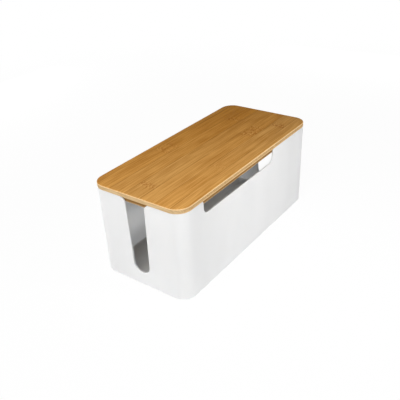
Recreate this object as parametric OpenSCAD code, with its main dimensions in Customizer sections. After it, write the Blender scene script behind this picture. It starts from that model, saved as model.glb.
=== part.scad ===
// Desk cable box: a moulded tub with a cable slot in each end and a long notch in
// its front wall, closed by a lift-off lid of three-ply bamboo board.
// Millimetres, +Z up, +X along the length, the notched front wall on the -Y side.
// The origin is on the ground under the middle of the box.

/* [Tub] */
// Outside length at the rim
tub_length = 310; // [270:1:360]
// Outside width at the rim
tub_width = 140; // [120:1:180]
// Height of the moulding from its underside to its rim
tub_height = 123.5; // [95:0.5:160]
// Outside radius of the upright corners at the rim
corner_r = 19; // [12:0.5:26]
// Thickness of the upright walls
wall_t = 2.2; // [1.6:0.1:3.2]
// Thickness of the floor
floor_t = 2.8; // [2:0.1:4.5]
// How far each wall leans in between the rim and the underside
draft = 1; // [0.4:0.1:2.5]
// Radius of the outside edge round the underside
base_edge_r = 1.1; // [0.5:0.1:4]
// Radius of the inside edge round the floor
floor_edge_r = 1.5; // [0.5:0.1:4]

/* [End slots] */
// Width of a slot at its round foot
slot_foot_w = 25; // [18:1:34]
// Width of a slot at its mouth, below the rounded rim corners
slot_mouth_w = 29.5; // [22:0.5:40]
// Height of a slot's lowest point above the tub's underside
slot_sill = 18.8; // [8:0.2:40]
// Radius of the rim corners beside a slot
slot_rim_r = 9; // [4:0.5:14]

/* [Front notch] */
// Distance from the tub's left end to the notch
notch_from_end = 42; // [34:0.5:60]
// Width of the notch
notch_w = 164; // [100:0.5:180]
// Depth of the notch below the rim
notch_depth = 18.9; // [15:0.1:40]
// Radius of the notch's lower corners
notch_foot_r = 10; // [3:0.5:11]
// Radius of the rim corners beside the notch
notch_rim_r = 3; // [1:0.5:4]

/* [Feet] */
// Diameter of a rubber foot
foot_d = 12; // [8:0.5:18]
// How far a foot stands proud of the tub's underside
foot_stand = 1; // [0.6:0.1:3]
// Depth of the pocket that a foot is stuck into
foot_pocket = 1; // [0.6:0.1:1.5]
// Gap round a foot in its pocket
foot_clearance = 0.2; // [0.1:0.05:0.5]
// Distance of a foot's middle from the tub's end and side
foot_inset = 24; // [18:0.5:34]
// Chamfer round the bottom of a foot
foot_chamfer = 0.4; // [0.2:0.1:0.5]

/* [Lid board] */
// Thickness of the face ply, with its grain along the lid
face_ply_t = 1.5; // [0.8:0.1:3]
// Thickness of the core ply, with its grain across the lid
core_ply_t = 3.5; // [2:0.1:8]
// Thickness of the back ply, with its grain along the lid
back_ply_t = 1.5; // [0.8:0.1:3]
// How far the board stands out past the tub's rim
lid_overhang = 0; // [0:0.1:4]
// Radius of the eased edge round the lid's top
lid_edge_r = 1.2; // [0.3:0.1:1.4]

/* [Lid lip] */
// Depth of the strips that locate the lid inside the rim
lip_depth = 6.4; // [3:0.1:10]
// Width of a lip strip, seen from below
lip_w = 9; // [5:0.5:16]
// Gap between the lip strips and the tub's inner walls
lip_clearance = 0.6; // [0.3:0.1:1.5]

/* [Hidden] */
$fn = 96;

// Heights, from the ground up
base_z = foot_stand;
rim_z = base_z + tub_height;
lip_z = rim_z - lip_depth;
back_ply_z = rim_z;
core_ply_z = back_ply_z + back_ply_t;
face_ply_z = core_ply_z + core_ply_t;
lid_top_z = face_ply_z + face_ply_t;

// A cutter runs this far past the faces that it cuts
cut_past = 1;
// Angle at which a rounded rim corner runs out on to the rim
rim_run_out = 12;
// Steps in a millimetre that the walls' lean is rounded to
lean_steps = 100;

slot_foot_r = slot_foot_w / 2;
slot_foot_z = base_z + slot_sill + slot_foot_r;
notch_z = rim_z - notch_depth;
notch_mid_x = notch_from_end + notch_w / 2 - tub_length / 2;

lid_length = tub_length + 2 * lid_overhang;
lid_width = tub_width + 2 * lid_overhang;
lid_corner_r = corner_r + lid_overhang;

// The lip strips lie along the straight stretches between the tub's corners
lip_half_length = tub_length / 2 - wall_t - lip_clearance;
lip_half_width = tub_width / 2 - wall_t - lip_clearance;
long_strip_length = tub_length - 2 * corner_r;
short_strip_length = tub_width - 2 * corner_r;

WHITE_PLASTIC = [0.93, 0.93, 0.92];
BAMBOO_FACE = [0.76, 0.56, 0.3];
BAMBOO_CORE = [0.8, 0.67, 0.47];
BAMBOO_BACK = [0.84, 0.71, 0.5];
BAMBOO_STRIP = [0.72, 0.57, 0.36];
GREY_RUBBER = [0.3, 0.3, 0.31];

// How far the walls have leaned in at height z, to the nearest hundredth
function lean(z) = round(lean_steps * draft * (rim_z - z) / tub_height) / lean_steps;

// A block with rounded upright corners: its child is the section across it, which
// draws both sides out to $half
module round_cornered(half_length, half_width, r) {
  rotate([90, 0, 0])
    linear_extrude(2 * (half_width - r), center = true)
      let ($half = half_length) children();
  rotate([90, 0, 90])
    linear_extrude(2 * (half_length - r), center = true)
      let ($half = half_width) children();
  for (x = [0, 1], y = [0, 1])
    mirror([x, 0, 0])
      mirror([0, y, 0])
        translate([half_length - r, half_width - r, 0])
          rotate_extrude(angle = 90)
            intersection() {
              let ($half = r) children();
              square([2 * r, 2 * lid_top_z]);
            }
}

// Section with leaning sides and rounded lower edges. $half is the half size at the rim.
module leaning_section(low, high, edge_r) {
  edge_z = low + edge_r;
  foot_x = $half - lean(edge_z);
  edge_x = foot_x - edge_r;
  top_x = $half - lean(high);
  for (side = [-1, 1])
    translate([side * edge_x, edge_z])
      circle(edge_r);
  polygon([
    [-edge_x, low],
    [edge_x, low],
    [foot_x, edge_z],
    [top_x, high],
    [-top_x, high],
    [-foot_x, edge_z]
  ]);
}

// Section with upright sides and rounded upper edges, trimmed flat at its underside
module eased_section(low, high, edge_r) {
  edge_x = $half - edge_r;
  edge_z = high - edge_r;
  intersection() {
    union() {
      for (side = [-1, 1])
        translate([side * edge_x, edge_z])
          circle(edge_r);
      polygon([
        [-$half, low],
        [$half, low],
        [$half, edge_z],
        [edge_x, high],
        [-edge_x, high],
        [-$half, edge_z]
      ]);
    }
    translate([-2 * $half, low])
      square([4 * $half, 2 * (high - low)]);
  }
}

// The two rounded corners where an opening of this half width breaks the rim
module rim_corners(half, r) {
  rise = r * cos(rim_run_out);
  for (side = [0, 1])
    mirror([side, 0])
      difference() {
        translate([half - cut_past, rim_z - rise])
          square([r + cut_past, rise + cut_past]);
        translate([half + r, rim_z - rise])
          circle(r);
      }
}

module slot_outline() {
  half_mouth = slot_mouth_w / 2;
  mouth_z = rim_z - slot_rim_r * cos(rim_run_out);
  top = rim_z + cut_past;
  translate([0, slot_foot_z])
    circle(slot_foot_r);
  polygon([
    [-slot_foot_r, slot_foot_z],
    [slot_foot_r, slot_foot_z],
    [half_mouth, mouth_z],
    [half_mouth, top],
    [-half_mouth, top],
    [-half_mouth, mouth_z]
  ]);
  rim_corners(half_mouth, slot_rim_r);
}

module notch_outline() {
  half = notch_w / 2;
  shoulder_z = notch_z + notch_foot_r;
  translate([-half, shoulder_z])
    square([notch_w, rim_z + cut_past - shoulder_z]);
  translate([notch_foot_r - half, notch_z])
    square([notch_w - 2 * notch_foot_r, 2 * notch_foot_r]);
  for (side = [-1, 1])
    translate([side * (half - notch_foot_r), shoulder_z])
      circle(notch_foot_r);
  rim_corners(half, notch_rim_r);
}

// Cutter through one end wall
module end_slot(side) {
  depth = wall_t + draft + 2 * cut_past;
  mid_x = tub_length / 2 + cut_past - depth / 2;
  translate([side * mid_x, 0, 0])
    rotate([90, 0, 90])
      linear_extrude(depth, center = true)
        slot_outline();
}

// Cutter through the front wall
module front_notch() {
  depth = wall_t + draft + 2 * cut_past;
  mid_y = tub_width / 2 + cut_past - depth / 2;
  translate([notch_mid_x, -mid_y, 0])
    rotate([90, 0, 0])
      linear_extrude(depth, center = true)
        notch_outline();
}

// Puts its children at the foot on this end and side
module at_foot(end, side) {
  translate([end * (tub_length / 2 - foot_inset), side * (tub_width / 2 - foot_inset), 0])
    children();
}

module foot_pocket_cutter() {
  translate([0, 0, base_z - cut_past])
    cylinder(h = foot_pocket + cut_past, d = foot_d + 2 * foot_clearance);
}

module tub_shell() {
  color(WHITE_PLASTIC)
    difference() {
      round_cornered(tub_length / 2, tub_width / 2, corner_r)
        leaning_section(base_z, rim_z, base_edge_r);
      round_cornered(tub_length / 2 - wall_t, tub_width / 2 - wall_t, corner_r - wall_t)
        leaning_section(base_z + floor_t, rim_z + cut_past, floor_edge_r);
      for (end = [-1, 1])
        end_slot(end);
      front_notch();
      for (end = [-1, 1], side = [-1, 1])
        at_foot(end, side)
          foot_pocket_cutter();
    }
}

// A stick-on rubber foot, in its pocket under the floor
module foot(end, side) {
  color(GREY_RUBBER)
    at_foot(end, side) {
      cylinder(h = foot_chamfer, d1 = foot_d - 2 * foot_chamfer, d2 = foot_d);
      translate([0, 0, foot_chamfer])
        cylinder(h = foot_stand + foot_pocket - foot_chamfer, d = foot_d);
    }
}

module lid_outline() {
  square([lid_length - 2 * lid_corner_r, lid_width], center = true);
  square([lid_length, lid_width - 2 * lid_corner_r], center = true);
  for (x = [-1, 1], y = [-1, 1])
    translate([x * (lid_length / 2 - lid_corner_r), y * (lid_width / 2 - lid_corner_r)])
      circle(lid_corner_r);
}

// One layer of the lid's glued board
module ply(low, thickness) {
  translate([0, 0, low])
    linear_extrude(thickness)
      lid_outline();
}

module lid_face_ply() {
  color(BAMBOO_FACE)
    round_cornered(lid_length / 2, lid_width / 2, lid_corner_r)
      eased_section(face_ply_z, lid_top_z, lid_edge_r);
}

module lid_core_ply() {
  color(BAMBOO_CORE)
    ply(core_ply_z, core_ply_t);
}

module lid_back_ply() {
  color(BAMBOO_BACK)
    ply(back_ply_z, back_ply_t);
}

// A lip strip along the front (-1) or rear (1) wall
module long_strip(side) {
  color(BAMBOO_STRIP)
    translate([0, side * (lip_half_width - lip_w / 2), lip_z + lip_depth / 2])
      cube([long_strip_length, lip_w, lip_depth], center = true);
}

// A lip strip along the left (-1) or right (1) end
module short_strip(end) {
  color(BAMBOO_STRIP)
    translate([end * (lip_half_length - lip_w / 2), 0, lip_z + lip_depth / 2])
      cube([lip_w, short_strip_length, lip_depth], center = true);
}

tub_shell();
foot(-1, -1);  // foot_front_left
foot(1, -1);  // foot_front_right
foot(-1, 1);  // foot_rear_left
foot(1, 1);  // foot_rear_right
lid_face_ply();
lid_core_ply();
lid_back_ply();
long_strip(-1);  // lip_front
long_strip(1);  // lip_rear
short_strip(-1);  // lip_left
short_strip(1);  // lip_right
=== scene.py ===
"""Desk cable box: a white moulded tub with a cable slot in each end, and a lift-off bamboo lid."""

import math
from collections import namedtuple

import bmesh
import bpy
from mathutils import Matrix, Vector


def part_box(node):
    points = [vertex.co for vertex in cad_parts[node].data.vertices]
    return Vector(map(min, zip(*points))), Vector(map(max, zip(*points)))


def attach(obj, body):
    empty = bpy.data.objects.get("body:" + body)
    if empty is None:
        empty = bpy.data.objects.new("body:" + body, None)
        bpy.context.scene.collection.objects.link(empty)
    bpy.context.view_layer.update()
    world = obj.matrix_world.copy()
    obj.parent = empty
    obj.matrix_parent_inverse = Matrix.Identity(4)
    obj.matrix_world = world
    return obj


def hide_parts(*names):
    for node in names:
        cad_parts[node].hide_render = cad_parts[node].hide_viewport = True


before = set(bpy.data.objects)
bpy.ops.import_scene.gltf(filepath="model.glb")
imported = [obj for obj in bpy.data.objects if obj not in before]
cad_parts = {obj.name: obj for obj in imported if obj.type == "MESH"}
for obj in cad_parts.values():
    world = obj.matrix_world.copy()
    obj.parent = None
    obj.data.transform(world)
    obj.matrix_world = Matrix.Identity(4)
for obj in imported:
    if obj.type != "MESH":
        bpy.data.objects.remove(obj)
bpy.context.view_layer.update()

MM = 0.001
QUARTER = math.pi / 2

# Tub sizes, in metres
CORNER_R = 19 * MM
WALL = 2.2 * MM
FLOOR = 2.8 * MM
DRAFT = 1 * MM
BASE_EDGE_R = 1.1 * MM
FLOOR_EDGE_R = 1.5 * MM
RIM_EDGE_R = 0.35 * MM
SLOT_FOOT_R = 12.5 * MM
SLOT_MOUTH_HALF = 14.75 * MM
SLOT_FOOT_Z = 32.3 * MM
SLOT_RIM_R = 9 * MM
NOTCH_LEFT = -113 * MM
NOTCH_RIGHT = 51 * MM
NOTCH_SILL_Z = 105.6 * MM
NOTCH_FOOT_R = 10 * MM
NOTCH_RIM_R = 3 * MM
POCKET_R = 6.2 * MM
POCKET_DEPTH = 1 * MM

# Lid and foot sizes, in metres
LID_EDGE_R = 1.2 * MM
LID_UNDER_EDGE_R = 0.35 * MM
STRIP_CORNER_R = 0.8 * MM
STRIP_EDGE_R = 0.5 * MM
FOOT_EDGE_R = 0.4 * MM

# How finely the shapes are divided
LONGEST_STEP = 12 * MM
WALL_ROWS = 3
BEND_STEPS = 14
EDGE_STEPS = 5
SLOT_RIM_STEPS = 10
SLOT_FOOT_STEPS = 28
NOTCH_RIM_STEPS = 7
NOTCH_FOOT_STEPS = 10
POCKET_STEPS = 40
LID_CORNER_STEPS = 16
STRIP_CORNER_STEPS = 4
SMOOTH_BELOW = math.radians(32)

TUB_LOW, TUB_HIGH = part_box("tub_shell")
RIM_Z = TUB_HIGH.z
BASE_Z = TUB_LOW.z
FLOOR_Z = BASE_Z + FLOOR
STRAIGHT_X = TUB_HIGH.x - CORNER_R
STRAIGHT_Y = TUB_HIGH.y - CORNER_R
BEND = QUARTER * CORNER_R
ONCE_ROUND = 4 * (STRAIGHT_X + STRAIGHT_Y + BEND)

FEET = ("front_left", "front_right", "rear_left", "rear_right")
LONG_STRIPS = ("front", "rear")
SHORT_STRIPS = ("left", "right")


# Shapes

def arc(centre, radius, start, end, steps):
    """Points of an arc in a plane, from one angle to another in degrees."""
    turns = [math.radians(start + (end - start) * i / steps) for i in range(steps + 1)]
    return [(centre[0] + radius * math.cos(a), centre[1] + radius * math.sin(a)) for a in turns]


def eased(radius):
    """(inset, height) of a quarter-round edge, from the flat face out to the side."""
    if radius == 0:
        return [(0, 0)]
    turns = [QUARTER * i / EDGE_STEPS for i in range(EDGE_STEPS + 1)]
    return [(radius - radius * math.sin(a), radius - radius * math.cos(a)) for a in turns]


def rounded_rectangle(middle, half, radius, z, steps):
    """One ring of points, counter-clockwise from above."""
    ring = []
    for turn, (sx, sy) in enumerate(((1, 1), (-1, 1), (-1, -1), (1, -1))):
        centre = (middle.x + sx * (half[0] - radius), middle.y + sy * (half[1] - radius))
        ring += [(x, y, z) for x, y in arc(centre, radius, 90 * turn, 90 * turn + 90, steps)]
    return ring


def circle(middle, radius, z):
    return [(x, y, z) for x, y in arc(middle, radius, 0, 360, POCKET_STEPS)[:-1]]


def bridge(shell, rings):
    """Quads between rings that follow each other over a form; gives the rings' vertices."""
    made = [[shell.verts.new(point) for point in ring] for ring in rings]
    for low, high in zip(made, made[1:]):
        for i in range(len(low)):
            j = (i + 1) % len(low)
            shell.faces.new((low[i], low[j], high[j], high[i]))
    return made


def add_piece(name, shell):
    bmesh.ops.recalc_face_normals(shell, faces=shell.faces[:])
    mesh = bpy.data.meshes.new(name)
    shell.to_mesh(mesh)
    shell.free()
    mesh.shade_smooth()
    mesh.set_sharp_from_angle(angle=SMOOTH_BELOW)
    piece = bpy.data.objects.new(name, mesh)
    bpy.context.scene.collection.objects.link(piece)
    return piece


def add_slab(name, rings):
    """A piece whose rings run from its flat underside to its flat top."""
    shell = bmesh.new()
    made = bridge(shell, rings)
    shell.faces.new(made[0])
    shell.faces.new(made[-1])
    return add_piece(name, shell)


def eased_levels(low_z, high_z, under_edge_r, top_edge_r):
    """(inset, height) of a slab's side, from its lower edge to its upper one."""
    levels = [(inset, low_z + height) for inset, height in eased(under_edge_r)]
    return levels + [(inset, high_z - height) for inset, height in reversed(eased(top_edge_r))]


def make_board(name, node, corner_r, under_edge_r, top_edge_r, corner_steps):
    """A flat piece in its node's place, with rounded corners and eased lower and upper edges."""
    low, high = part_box(node)
    middle = (low + high) / 2
    half = (high - low) / 2
    rings = []
    for inset, z in eased_levels(low.z, high.z, under_edge_r, top_edge_r):
        size = (half.x - inset, half.y - inset)
        rings.append(rounded_rectangle(middle, size, corner_r - inset, z, corner_steps))
    return add_slab(name, rings)


def make_foot(place):
    """A stick-on rubber disc with rolled edges."""
    low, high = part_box("foot_" + place)
    middle = (low + high) / 2
    radius = (high.x - low.x) / 2
    levels = eased_levels(low.z, high.z, FOOT_EDGE_R, FOOT_EDGE_R)
    return add_slab("rubber_foot_" + place, [circle(middle, radius - inset, z) for inset, z in levels])


def around(s, inset):
    """The point s along the tub's outline from the left of the front wall, moved in by inset."""
    s = s % ONCE_ROUND
    for turn in range(4):
        forward = Vector((math.cos(QUARTER * turn), math.sin(QUARTER * turn)))
        outward = Vector((forward.y, -forward.x))
        half, reach = (STRAIGHT_X, STRAIGHT_Y) if turn % 2 == 0 else (STRAIGHT_Y, STRAIGHT_X)
        if s <= 2 * half:
            return forward * (s - half) + outward * (reach + CORNER_R - inset)
        s -= 2 * half
        if s <= BEND:
            swing = outward * math.cos(s / CORNER_R) + forward * math.sin(s / CORNER_R)
            return forward * half + outward * reach + swing * (CORNER_R - inset)
        s -= BEND
    return around(0, inset)


def wall_point(s, z, depth):
    """A point of the tub's leaning wall: along the outline, up, and in from the outer face."""
    lean = DRAFT * (RIM_Z - z) / (RIM_Z - BASE_Z)
    x, y = around(s, lean + depth)
    return (x, y, z)


def notch_dip():
    """The rim's path through the notch, as places along the front wall and heights."""
    left, right = NOTCH_LEFT + STRAIGHT_X, NOTCH_RIGHT + STRAIGHT_X
    rim, foot = RIM_Z - NOTCH_RIM_R, NOTCH_SILL_Z + NOTCH_FOOT_R
    dip = arc((left - NOTCH_RIM_R, rim), NOTCH_RIM_R, 90, 0, NOTCH_RIM_STEPS)
    dip += arc((left + NOTCH_FOOT_R, foot), NOTCH_FOOT_R, 180, 270, NOTCH_FOOT_STEPS)
    dip += arc((right - NOTCH_FOOT_R, foot), NOTCH_FOOT_R, 270, 360, NOTCH_FOOT_STEPS)
    dip += arc((right + NOTCH_RIM_R, rim), NOTCH_RIM_R, 180, 90, NOTCH_RIM_STEPS)
    return dip


def slot_dip():
    """The rim's path down one side of an end slot, round its foot and up the other side."""
    rim = RIM_Z - SLOT_RIM_R
    mouth = SLOT_MOUTH_HALF + SLOT_RIM_R
    dip = arc((STRAIGHT_Y - mouth, rim), SLOT_RIM_R, 90, 0, SLOT_RIM_STEPS)
    dip += arc((STRAIGHT_Y, SLOT_FOOT_Z), SLOT_FOOT_R, 180, 360, SLOT_FOOT_STEPS)
    dip += arc((STRAIGHT_Y + mouth, rim), SLOT_RIM_R, 180, 90, SLOT_RIM_STEPS)
    return dip


def side_uprights(run, dip):
    """(base place, rim place, rim height) along one straight side whose rim follows the dip."""
    corners = [(0, RIM_Z)] + dip + [(run, RIM_Z)]
    path = []
    for start, end in zip(corners, corners[1:]):
        steps = max(1, math.ceil(math.dist(start, end) / LONGEST_STEP))
        for i in range(steps):
            share = i / steps
            path.append((
                start[0] + (end[0] - start[0]) * share,
                start[1] + (end[1] - start[1]) * share,
            ))
    path.append(corners[-1])
    walked = [0]
    for start, end in zip(path, path[1:]):
        walked.append(walked[-1] + math.dist(start, end))
    return [(run * w / walked[-1], s, z) for w, (s, z) in zip(walked, path)][:-1]


def tub_uprights():
    """Every upright of the tub's wall, once round from the left of the front wall."""
    front, end = 2 * STRAIGHT_X, 2 * STRAIGHT_Y
    uprights = []
    start = 0
    for run, dip in ((front, notch_dip()), (end, slot_dip()), (front, []), (end, slot_dip())):
        uprights += [(start + base, start + s, z) for base, s, z in side_uprights(run, dip)]
        start += run
        bend = [start + BEND * i / BEND_STEPS for i in range(BEND_STEPS)]
        uprights += [(s, s, RIM_Z) for s in bend]
        start += BEND
    return uprights


def rim_normals(uprights):
    """The direction out of the wall at each point of the rim, as (along, up)."""
    normals = []
    for i in range(len(uprights)):
        _, s0, z0 = uprights[i - 1]
        _, s1, z1 = uprights[(i + 1) % len(uprights)]
        along = (s1 - s0 + ONCE_ROUND / 2) % ONCE_ROUND - ONCE_ROUND / 2
        step = Vector((along, z1 - z0)).normalized()
        normals.append((-step.y, step.x))
    return normals


def tub_rings():
    """The tub's skin from the edge of its underside, over the rim, to the edge of its floor."""
    uprights = tub_uprights()
    normals = rim_normals(uprights)

    def level(z, depth):
        return [wall_point(base, z, depth) for base, _, _ in uprights]

    def below_rim(down, depth):
        ring = []
        for (_, s, z), (along, up) in zip(uprights, normals):
            ring.append(wall_point(s - down * along, z - down * up, depth))
        return ring

    def part_way(low_z, depth, share):
        ring = []
        for (base, s, z), (along, up) in zip(uprights, normals):
            top_s, top_z = s - RIM_EDGE_R * along, z - RIM_EDGE_R * up
            here = base + (top_s - base) * share
            ring.append(wall_point(here, low_z + (top_z - low_z) * share, depth))
        return ring

    shares = [row / WALL_ROWS for row in range(1, WALL_ROWS)]
    rim_edge = eased(RIM_EDGE_R)
    floor_edge = eased(FLOOR_EDGE_R)
    rings = [level(BASE_Z + height, inset) for inset, height in eased(BASE_EDGE_R)]
    rings += [part_way(BASE_Z + BASE_EDGE_R, 0, share) for share in shares]
    rings += [below_rim(height, inset) for inset, height in reversed(rim_edge)]
    rings += [below_rim(height, WALL - inset) for inset, height in rim_edge]
    rings += [part_way(FLOOR_Z + FLOOR_EDGE_R, WALL, share) for share in reversed(shares)]
    rings += [level(FLOOR_Z + height, WALL + inset) for inset, height in reversed(floor_edge)]
    return rings


def loop_edges(shell, loop):
    """The edges once round a loop of vertices."""
    edges = []
    for i in range(len(loop)):
        ends = (loop[i - 1], loop[i])
        edges.append(shell.edges.get(ends) or shell.edges.new(ends))
    return edges


def close_underside(shell, outline):
    """Fills the flat underside around the four pockets that the feet sit in."""
    edges = loop_edges(shell, outline)
    for foot in FEET:
        low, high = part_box("foot_" + foot)
        centre = (low + high) / 2
        levels = (BASE_Z, BASE_Z + POCKET_DEPTH)
        mouth, top = bridge(shell, [circle(centre, POCKET_R, z) for z in levels])
        shell.faces.new(top)
        edges += loop_edges(shell, mouth)
    bmesh.ops.triangle_fill(shell, edges=edges, use_beauty=True)


def make_tub():
    shell = bmesh.new()
    made = bridge(shell, tub_rings())
    shell.faces.new(made[-1])
    close_underside(shell, made[0])
    return add_piece("moulded_tub", shell)


# Finishes

SHADER = "Principled BSDF"


class Value:
    """A value that changes over a surface; arithmetic on it adds Math nodes."""

    def __init__(self, finish, socket):
        self.finish = finish
        self.socket = socket

    def __add__(self, other):
        return self.finish.math("ADD", self, other)

    __radd__ = __add__

    def __sub__(self, other):
        return self.finish.math("SUBTRACT", self, other)

    def __rsub__(self, other):
        return self.finish.math("SUBTRACT", other, self)

    def __mul__(self, other):
        return self.finish.math("MULTIPLY", self, other)

    __rmul__ = __mul__

    def __abs__(self):
        return self.finish.math("ABSOLUTE", self)

    def above(self, limit):
        """1 where the value is over the limit, and 0 elsewhere."""
        return self.finish.math("GREATER_THAN", self, limit)

    def equals(self, number):
        """1 where the value is that whole number, and 0 elsewhere."""
        return self.finish.math("COMPARE", self, number, 0.5)

    def larger(self, other):
        """The larger of two values."""
        return self.finish.math("MAXIMUM", self, other)

    def rise(self, start, end):
        """From 0 at start, smoothly, to 1 at end."""
        ends = {"From Min": start, "From Max": end, "To Min": 0.0, "To Max": 1.0}
        settings = {"interpolation_type": "SMOOTHSTEP"}
        return self.finish.node("ShaderNodeMapRange", settings, {"Value": self, **ends})

    def near(self, middle, reach):
        """1 at the middle, falling smoothly to 0 at that reach on both sides."""
        return 1 - abs(self - middle).rise(0.0, reach)


class Nodes:
    """The nodes of one material, or of the world."""

    def __init__(self, holder):
        holder.use_nodes = True
        self.tree = holder.node_tree

    def node(self, kind, settings=None, inputs=None, output=0):
        """Any node: its type, its settings, what its sockets take, and which output is wanted."""
        made = self.tree.nodes.new(kind)
        for key, setting in (settings or {}).items():
            setattr(made, key, setting)
        for key, given in (inputs or {}).items():
            if isinstance(given, Value):
                self.tree.links.new(given.socket, made.inputs[key])
            else:
                made.inputs[key].default_value = given
        return Value(self, made.outputs[output])

    def join(self, value, name, socket):
        """Links a value to a socket of a node that the tree already has."""
        self.tree.links.new(value.socket, self.tree.nodes[name].inputs[socket])

    def math(self, operation, *terms):
        return self.node("ShaderNodeMath", {"operation": operation}, dict(enumerate(terms)))

    def place(self):
        """Where a surface point is on the object, as x, y and z in millimetres."""
        point = self.node("ShaderNodeTexCoord", output="Object")
        settings = {"operation": "SCALE"}
        point = self.node("ShaderNodeVectorMath", settings, {"Vector": point, "Scale": 1 / MM})
        return [self.node("ShaderNodeSeparateXYZ", None, {"Vector": point}, axis) for axis in "XYZ"]

    def facing(self, axis):
        """1 on a face that looks along X, Y or Z, either way, and 0 on one that runs along it."""
        normal = self.node("ShaderNodeTexCoord", output="Normal")
        return abs(self.node("ShaderNodeSeparateXYZ", None, {"Vector": normal}, axis))

    def cloud(self, place, fineness, detail=3.0, roughness=0.55):
        """Soft noise about 0.5, with that many patches to a unit in each of the three directions."""
        spread = [part * fine for part, fine in zip(place, fineness)]
        point = self.node("ShaderNodeCombineXYZ", None, dict(zip("XYZ", spread)))
        inputs = {"Vector": point, "Scale": 1.0, "Detail": detail, "Roughness": roughness}
        return self.node("ShaderNodeTexNoise", None, inputs)

    def chance(self, number):
        """One random value from 0 to 1 for each whole number."""
        return self.node("ShaderNodeTexWhiteNoise", {"noise_dimensions": "1D"}, {"W": number})

    def mix(self, first, second, share, blend="MIX"):
        """A colour from the first to the second as share goes from 0 to 1."""
        settings = {"data_type": "RGBA", "blend_type": blend}
        return self.node("ShaderNodeMix", settings, {"Factor": share, 6: first, 7: second}, 2)

    def seen_directly(self):
        """1 for camera, glossy and transmission rays, and 0 for light that falls on the object."""
        kinds = ("Is Camera Ray", "Is Glossy Ray", "Is Transmission Ray")
        camera, glossy, through = [self.node("ShaderNodeLightPath", output=kind) for kind in kinds]
        return camera.larger(glossy).larger(through)


class Finish(Nodes):
    """One procedural material around a single surface shader."""

    def __init__(self, name, constants):
        self.material = bpy.data.materials.new(name)
        super().__init__(self.material)
        for socket, value in constants.items():
            self.tree.nodes[SHADER].inputs[socket].default_value = value

    def surface(self, colour, roughness, height, depth):
        """Joins colour, roughness and a height in units of depth to the shader."""
        inputs = {"Strength": 1.0, "Distance": depth, "Height": height}
        bump = self.node("ShaderNodeBump", None, inputs)
        for socket, value in (("Base Color", colour), ("Roughness", roughness), ("Normal", bump)):
            self.join(value, SHADER, socket)
        return self.material


def paint(red, green, blue):
    """A display colour, 0 to 255, as the linear colour that a shader takes."""
    parts = [part / 255 for part in (red, green, blue)]
    return tuple(p / 12.92 if p <= 0.04045 else ((p + 0.055) / 1.055) ** 2.4 for p in parts) + (1.0,)


# Plastic and rubber: how many patches a mark has to a millimetre in x, y and z, how deep the grain is,
# and how far light spreads inside the plastic
PLASTIC_FLOW = (0.02, 0.02, 0.006)
PLASTIC_GRAIN = (2.2, 2.2, 2.2)
PLASTIC_GRAIN_DEPTH = 0.012 * MM
PLASTIC_GLOW_REACH = 8 * MM
RUBBER_BLOOM = (0.35, 0.35, 0.35)
RUBBER_GRAIN = (4.0, 4.0, 4.0)
RUBBER_GRAIN_DEPTH = 0.02 * MM


def white_plastic():
    """Satin white moulding: an even fine grain from the mould, and a faint flow in the white."""
    finish = Finish("white_plastic", {
        "Specular IOR Level": 0.4,
        "Subsurface Weight": 0.7,
        "Subsurface Radius": (0.96, 1.0, 1.04),
        "Subsurface Scale": PLASTIC_GLOW_REACH,
    })
    place = finish.place()
    flow = finish.cloud(place, PLASTIC_FLOW, 2.0)
    grain = finish.cloud(place, PLASTIC_GRAIN, 2.0)
    white = finish.mix(paint(242, 244, 246), paint(246, 248, 250), flow.rise(0.3, 0.7))
    white = finish.mix(white, paint(235, 237, 239), 0.15 * grain.rise(0.5, 0.75))
    roughness = 0.42 + 0.1 * (grain - 0.5) + 0.06 * (flow - 0.5)
    return finish.surface(white, roughness, grain, PLASTIC_GRAIN_DEPTH)


def foot_rubber():
    """Dark grey rubber with a dusty bloom."""
    finish = Finish("foot_rubber", {"Specular IOR Level": 0.3})
    place = finish.place()
    bloom = finish.cloud(place, RUBBER_BLOOM)
    grain = finish.cloud(place, RUBBER_GRAIN, 2.0)
    colour = finish.mix(paint(46, 46, 47), paint(66, 66, 68), 0.7 * bloom + 0.3 * grain)
    return finish.surface(colour, 0.72 + 0.15 * (bloom - 0.5), grain, RUBBER_GRAIN_DEPTH)


# Bamboo: lengths are in millimetres
WOOD_GLOSS = 0.002
RUSSET = (1.0, 0.84, 0.5, 1.0)
LATH_REACH = 160
LATH_STAGGER = 400
FIBRE_WANDER = 3.0
KNUCKLE_REACH = 11.0
KNUCKLE_SWAY = 9
KNUCKLE_SLANT = 0.4
KNUCKLE_SWERVE = 4.0
SEAM_REACH = 0.8
SEAM_STRAY = 0.3
# Height and fade of the pale band along a lip strip's underside: painted light for the lit lower part
# of the strip.
LIT_BAND_HEIGHT = 0.6
LIT_BAND_FADE = 1.4
FIBRE_DEPTH = 0.03 * MM
BUNDLE_DEPTH = 0.04 * MM

# How many times a mark changes in a millimetre along a lath, across it and up, or from lath to lath
PATCHES = (0.02, 0.09, 0.1)
STREAKS = (0.008, 0.42, 0.3)
FIBRES = (0.022, 1.25, 1.25)
FIBRE_BENDS = (0.012, 5.3, 0.02)
KNUCKLE_BENDS = (0.16, 0.37, 1.0)
KNUCKLE_CURLS = (0.22, 0.12, 2.1)
KNUCKLE_DABS = (0.25, 0.5, 1.7)
SEAM_BREAKS = (0.02, 1.7, 1.0)
CORE_BUNDLES = (0.7, 0.05, 0.3)
CORE_PORES = (2.4, 0.08, 2.0)

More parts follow.
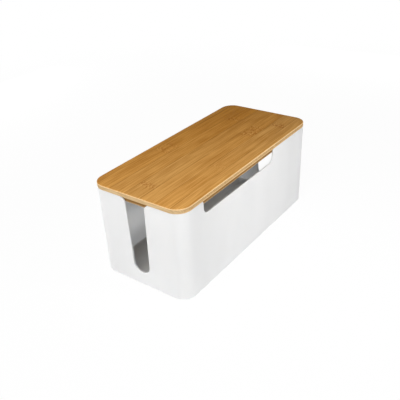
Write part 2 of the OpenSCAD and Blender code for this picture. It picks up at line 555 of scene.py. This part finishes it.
# A board's laths lie between its seams, from the front to the rear. For each lath: how russet it is
# at its left and right ends. For each knuckle: its place along the lid, its lath and its strength.
Laths = namedtuple("Laths", "seams russet knuckles")
FACE_LATHS = Laths(
    seams=(-54, -32, -10.5, 14, 37.5, 61),
    russet=((0.2, 0.0), (0.3, 0.15), (0.12, 0.65), (0.0, 0.65), (0.2, 1.0), (0.45, 1.0), (0.5, 0.75)),
    knuckles=(
        (-125, 3, 1.0), (-38, 5, 1.0), (-20, 5, 0.5), (101, 4, 0.75), (65, 2, 1.15), (77, 2, 0.95),
        (90, 2, 0.8), (113, 1, 1.2), (-40, 1, 0.4),
    ),
)
BACK_LATHS = Laths(
    seams=(-62, -38, -15, 9, 32, 55),
    russet=((0.3, 0.1), (0.1, 0.3), (0.5, 0.2), (0.2, 0.4), (0.0, 0.2), (0.35, 0.1), (0.15, 0.3)),
    knuckles=((-88, 2, 1.0), (75, 4, 0.8), (20, 1, 0.6), (128, 3, 1.0), (-30, 5, 0.9)),
)
ONE_LATH = Laths(seams=(), russet=((0.3, 0.3),), knuckles=())

# Lacquered faces, and edges that are cut along the grain (side) or across it (end)
Tones = namedtuple("Tones", "dark light seam knuckle")
Cut = namedtuple("Cut", "side_dark side_light end_dark end_light")
CARAMEL = Tones(paint(166, 114, 51), paint(216, 166, 97), paint(118, 70, 24), paint(138, 70, 18))
NATURAL = Tones(paint(200, 172, 128), paint(230, 206, 164), paint(150, 110, 62), paint(160, 116, 66))
# The lip strips' tones are darkened: painted shade from the lid that overhangs them.
STRIP_PAINTED_SHADE = Tones(paint(126, 90, 48), paint(160, 126, 80), paint(118, 70, 24), paint(128, 76, 28))
# The face ply's bare edge is paler than the other plies' edges. Part of that is a painted highlight on
# its rounded top edge.
FACE_CUT_AND_HIGHLIGHT = Cut(paint(224, 190, 142), paint(248, 220, 174), paint(222, 184, 132), paint(244, 212, 162))
CORE_CUT = Cut(paint(191, 159, 115), paint(215, 185, 141), paint(180, 142, 94), paint(212, 176, 126))
BACK_CUT = Cut(paint(214, 178, 128), paint(234, 202, 154), paint(198, 166, 122), paint(217, 187, 143))
# The strips' pale band along their underside is painted light: the lit lower part of the strip below
# the lid's shadow.
STRIP_PAINTED_LIT_BAND = Cut(paint(186, 154, 112), paint(212, 181, 141), paint(170, 132, 86), paint(190, 152, 104))


class Bamboo(Finish):
    """Lacquered bamboo: laths side by side, long fibres, and knuckles that cross a lath."""

    def __init__(self, name, seed, laths, along_x=True):
        super().__init__(name, {"Specular IOR Level": WOOD_GLOSS})
        x, y, self.z = self.place()
        self.along, self.across = (x, y) if along_x else (y, x)
        self.end_axis = "X" if along_x else "Y"
        self.laths = laths
        self.lath, self.warmth = self.lath_here(seed)
        self.knuckle = self.knuckle_here(seed)
        self.patch, self.streak, self.fibre = self.grain_here()

    def lath_here(self, seed):
        """The number of the lath at a point, and how russet it is there."""
        lath = seed
        russet = self.laths.russet
        left, right = russet[0]
        for seam, before, after in zip(self.laths.seams, russet, russet[1:]):
            beyond = self.across.above(seam)
            lath = lath + beyond
            left = left + (after[0] - before[0]) * beyond
            right = right + (after[1] - before[1]) * beyond
        rightward = self.along.rise(-LATH_REACH, LATH_REACH)
        return lath, left * (1 - rightward) + right * rightward

    def knuckle_here(self, seed):
        """How strongly a knuckle crosses the lath at a point."""
        crossing = 0.0
        for place, number, strength in self.laths.knuckles:
            sway = self.cloud((self.across, place, 0.0), KNUCKLE_BENDS, 2.0) - 0.5
            band = (self.along + KNUCKLE_SWAY * sway).near(place, KNUCKLE_REACH)
            crossing = crossing + strength * band * self.lath.equals(number + seed)
        return crossing

    def grain_here(self):
        """Broad patches, long streaks and fine fibres, which swerve round a knuckle."""
        wander = self.cloud((self.along, self.lath, self.z), FIBRE_BENDS, 1.0)
        line = self.across + FIBRE_WANDER * (wander - 0.5)
        if self.laths.knuckles:
            swerve = self.cloud((self.along, self.across, self.lath), KNUCKLE_CURLS, 2.0)
            line = line + KNUCKLE_SWERVE * self.knuckle * (swerve - 0.5)
        place = (self.along + LATH_STAGGER * self.chance(self.lath), line, self.z)
        patch = self.cloud(place, PATCHES, 2.0)
        streak = self.cloud(place, STREAKS, 4.0, 0.6)
        fibre = self.cloud(place, FIBRES, 4.0, 0.65)
        return patch, streak, fibre

    def lacquered(self, tones):
        """The colour of a flat face, with its seams and knuckles."""
        tone = 0.26 * self.patch.rise(0.3, 0.7)
        tone = tone + 0.3 * self.streak.rise(0.34, 0.66)
        tone = tone + 0.44 * self.fibre.rise(0.36, 0.64)
        colour = self.mix(tones.dark, tones.light, tone)
        colour = self.mix(colour, RUSSET, self.warmth, "MULTIPLY")
        if self.laths.knuckles:
            slanted = self.across - KNUCKLE_SLANT * self.along
            dab = self.cloud((self.along, slanted, self.lath), KNUCKLE_DABS)
            colour = self.mix(colour, tones.knuckle, 0.45 * self.knuckle * dab.rise(0.46, 0.58))
            pale = 1 - dab.rise(0.38, 0.46)
            colour = self.mix(colour, tones.light, 0.35 * self.knuckle * pale)
        for seam in self.laths.seams:
            broken = self.cloud((self.along, seam, 0.0), SEAM_BREAKS).rise(0.35, 0.6)
            line = self.across.near(seam + SEAM_STRAY * math.sin(seam), SEAM_REACH)
            colour = self.mix(colour, tones.seam, (0.12 + 0.5 * broken) * line)
        return colour

    def sawn(self, cut):
        """The colour of a bare edge: side grain along the fibres, and end grain across them."""
        tone = 0.6 * self.streak.rise(0.35, 0.7) + 0.4 * self.fibre.rise(0.3, 0.7)
        side_grain = self.mix(cut.side_dark, cut.side_light, tone)
        end_grain = self.mix(cut.end_dark, cut.end_light, tone)
        return self.mix(side_grain, end_grain, self.facing(self.end_axis).rise(0.2, 0.9))

    def finished(self, tones, cut, underside=None):
        """The material: bare wood on a board's upright edges and rounded top edge, or, on a strip whose
        underside is given, a pale band along the underside that is painted light.
        """
        if underside is None:
            # On a board the cut colour also covers the rounded top edge, where the face ply's paler
            # tone is partly a painted highlight.
            lacquer = self.facing("Z").rise(0.3, 0.85)
        else:
            # On a strip, the pale band is painted light below the painted shade of its darkened tones.
            lit_band_top = underside + LIT_BAND_HEIGHT
            lacquer = self.z.rise(lit_band_top, lit_band_top + LIT_BAND_FADE)
        colour = self.mix(self.lacquered(tones), self.sawn(cut), 1 - lacquer)
        roughness = 0.42 + 0.12 * (self.fibre - 0.5)
        return self.surface(colour, roughness, 0.5 * self.streak + 0.5 * self.fibre, FIBRE_DEPTH)


def bamboo_core():
    """The middle layer, with fibres across the lid, so its end grain is at the front and rear."""
    finish = Finish("bamboo_core", {"Specular IOR Level": WOOD_GLOSS})
    x, y, z = finish.place()
    bundle = finish.cloud((x + 0.5 * z, y, z), CORE_BUNDLES, 2.0, 0.5)
    pore = finish.cloud((x, y, z), CORE_PORES, 2.0, 0.6)
    tone = 0.55 * bundle.rise(0.38, 0.62) + 0.45 * pore.rise(0.35, 0.65)
    end_grain = finish.mix(CORE_CUT.end_dark, CORE_CUT.end_light, tone)
    side_grain = finish.mix(CORE_CUT.side_dark, CORE_CUT.side_light, tone)
    colour = finish.mix(end_grain, side_grain, finish.facing("X").rise(0.2, 0.9))
    return finish.surface(colour, 0.5 + 0.1 * (pore - 0.5), bundle, BUNDLE_DEPTH)


# The box

FACE_SEED = 0.0
BACK_SEED = 20.0
FIRST_STRIP_SEED = 40


def dress(piece, body, node, slot, material):
    piece.data.materials.append(material)
    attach(piece, body)
    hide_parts(node)


def build_tub():
    dress(make_tub(), "tub", "tub_shell", "tub_plastic", white_plastic())
    rubber = foot_rubber()
    for place in FEET:
        dress(make_foot(place), "tub", "foot_" + place, "foot_rubber", rubber)


def build_lid():
    face_wood = Bamboo("bamboo_face", FACE_SEED, FACE_LATHS).finished(CARAMEL, FACE_CUT_AND_HIGHLIGHT)
    back_wood = Bamboo("bamboo_back", BACK_SEED, BACK_LATHS).finished(NATURAL, BACK_CUT)
    plies = (
        ("face", 0, LID_EDGE_R, face_wood),
        ("core", 0, 0, bamboo_core()),
        ("back", LID_UNDER_EDGE_R, 0, back_wood),
    )
    for ply, under_edge_r, top_edge_r, wood in plies:
        node = f"lid_{ply}_ply"
        name = f"bamboo_{ply}_ply"
        board = make_board(name, node, CORNER_R, under_edge_r, top_edge_r, LID_CORNER_STEPS)
        dress(board, "lid", node, "bamboo_" + ply, wood)


def build_lip():
    """The four strips under the lid that keep it in place inside the rim."""
    for seed, side in enumerate(LONG_STRIPS + SHORT_STRIPS, FIRST_STRIP_SEED):
        node = "lip_" + side
        strip = make_board(side + "_strip", node, STRIP_CORNER_R, STRIP_EDGE_R, 0, STRIP_CORNER_STEPS)
        wood = Bamboo(side + "_strip_wood", float(seed), ONE_LATH, side in LONG_STRIPS)
        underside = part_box(node)[0].z / MM
        # The strips take darkened tones as painted shade from the lid above, and a pale band along
        # their underside as painted light.
        dress(strip, "lid", node, "bamboo_strip", wood.finished(STRIP_PAINTED_SHADE, STRIP_PAINTED_LIT_BAND, underside))


# Studio

CAMERA_PLACE = (-0.544257, -0.391323, 0.437602)
CAMERA_YAW = 0.647769478
CAMERA_PITCH = 0.524577685
CAMERA_ROLL = 0.052234096
CAMERA_LENS_MM = 48.831
SENSOR_MM = 36
NEAREST_SEEN = 0.01

FLOOR_REACH = 8.0
FLOOR_SHADE_SHARE = 0.035
SHADE_REACH_MM = 1200
FLOOR_GREY = 0.85
AMBIENT = 0.04

# Soft boxes: name, place, what it points at, width, height, power in watts, spread in degrees
SOFT_BOXES = (
    ("front_light", (0.04, -0.60, 0.385), (-0.02, -0.07, 0.07), 0.15, 0.12, 1.115, 122),
    ("left_light", (-1.28, -0.17, 0.54), (0, 0, 0.07), 0.2, 0.12, 6.95, 180),
    ("lid_light", (-0.36, -0.05, 0.62), (-0.12, 0, 0.13), 0.35, 0.35, 2.3, 180),
    ("back_light", (0.00, 0.90, 0.10), (0, 0, 0.07), 0.9, 0.15, 4.8, 180),
    ("right_light", (1.00, 0.08, 0.10), (0, 0, 0.07), 0.6, 0.15, 3.0, 180),
)


def set_camera():
    level = math.cos(CAMERA_PITCH)
    look = Vector((level * math.cos(CAMERA_YAW), level * math.sin(CAMERA_YAW), -math.sin(CAMERA_PITCH)))
    flat_right = look.cross(Vector((0, 0, 1))).normalized()
    flat_down = look.cross(flat_right)
    right = flat_right * math.cos(CAMERA_ROLL) + flat_down * math.sin(CAMERA_ROLL)
    down = flat_down * math.cos(CAMERA_ROLL) - flat_right * math.sin(CAMERA_ROLL)
    data = bpy.data.cameras.new("camera")
    data.lens = CAMERA_LENS_MM
    data.sensor_width = SENSOR_MM
    data.sensor_fit = "HORIZONTAL"
    data.clip_start = NEAREST_SEEN
    camera = bpy.data.objects.new("camera", data)
    turn = Matrix((right, -down, -look)).transposed().to_4x4()
    camera.matrix_world = Matrix.Translation(CAMERA_PLACE) @ turn
    bpy.context.scene.collection.objects.link(camera)
    bpy.context.scene.camera = camera


def floor_finish():
    """White to the eye, with a share of real shading near the box, so that its soft shadow shows."""
    material = bpy.data.materials.new("pale_floor")
    nodes = Nodes(material)
    nodes.tree.nodes.remove(nodes.tree.nodes[SHADER])
    lit = nodes.node("ShaderNodeBsdfDiffuse", None, {"Color": (FLOOR_GREY, FLOOR_GREY, FLOOR_GREY, 1)})
    bright = nodes.node("ShaderNodeEmission")
    x, y, _ = nodes.place()
    shaded = FLOOR_SHADE_SHARE * (1 - (x * x + y * y).rise(0.0, SHADE_REACH_MM ** 2))
    share = (1 - shaded) * nodes.seen_directly()
    blend = nodes.node("ShaderNodeMixShader", None, {"Fac": share, 1: lit, 2: bright})
    nodes.join(blend, "Material Output", "Surface")
    return material


def add_floor():
    shell = bmesh.new()
    corners = ((-1, -1), (1, -1), (1, 1), (-1, 1))
    shell.faces.new([shell.verts.new((x * FLOOR_REACH, y * FLOOR_REACH, 0)) for x, y in corners])
    floor = add_piece("pale_floor", shell)
    floor.data.materials.append(floor_finish())


def set_world():
    """White where it is seen, and a dim even light on the object."""
    world = bpy.data.worlds.new("studio")
    nodes = Nodes(world)
    nodes.tree.nodes["Background"].inputs["Color"].default_value = (1, 1, 1, 1)
    nodes.join(AMBIENT + (1 - AMBIENT) * nodes.seen_directly(), "Background", "Strength")
    bpy.context.scene.world = world


def add_soft_boxes():
    for name, place, target, width, height, watts, spread in SOFT_BOXES:
        data = bpy.data.lights.new(name, "AREA")
        data.shape = "RECTANGLE"
        data.size = width
        data.size_y = height
        data.energy = watts
        data.spread = math.radians(spread)
        lamp = bpy.data.objects.new(name, data)
        lamp.location = place
        aim = Vector(target) - Vector(place)
        lamp.rotation_euler = aim.to_track_quat("-Z", "Y").to_euler()
        lamp.visible_camera = False
        bpy.context.scene.collection.objects.link(lamp)


bpy.context.scene.view_settings.view_transform = "Standard"
set_camera()
build_tub()
build_lid()
build_lip()
add_floor()
set_world()
add_soft_boxes()
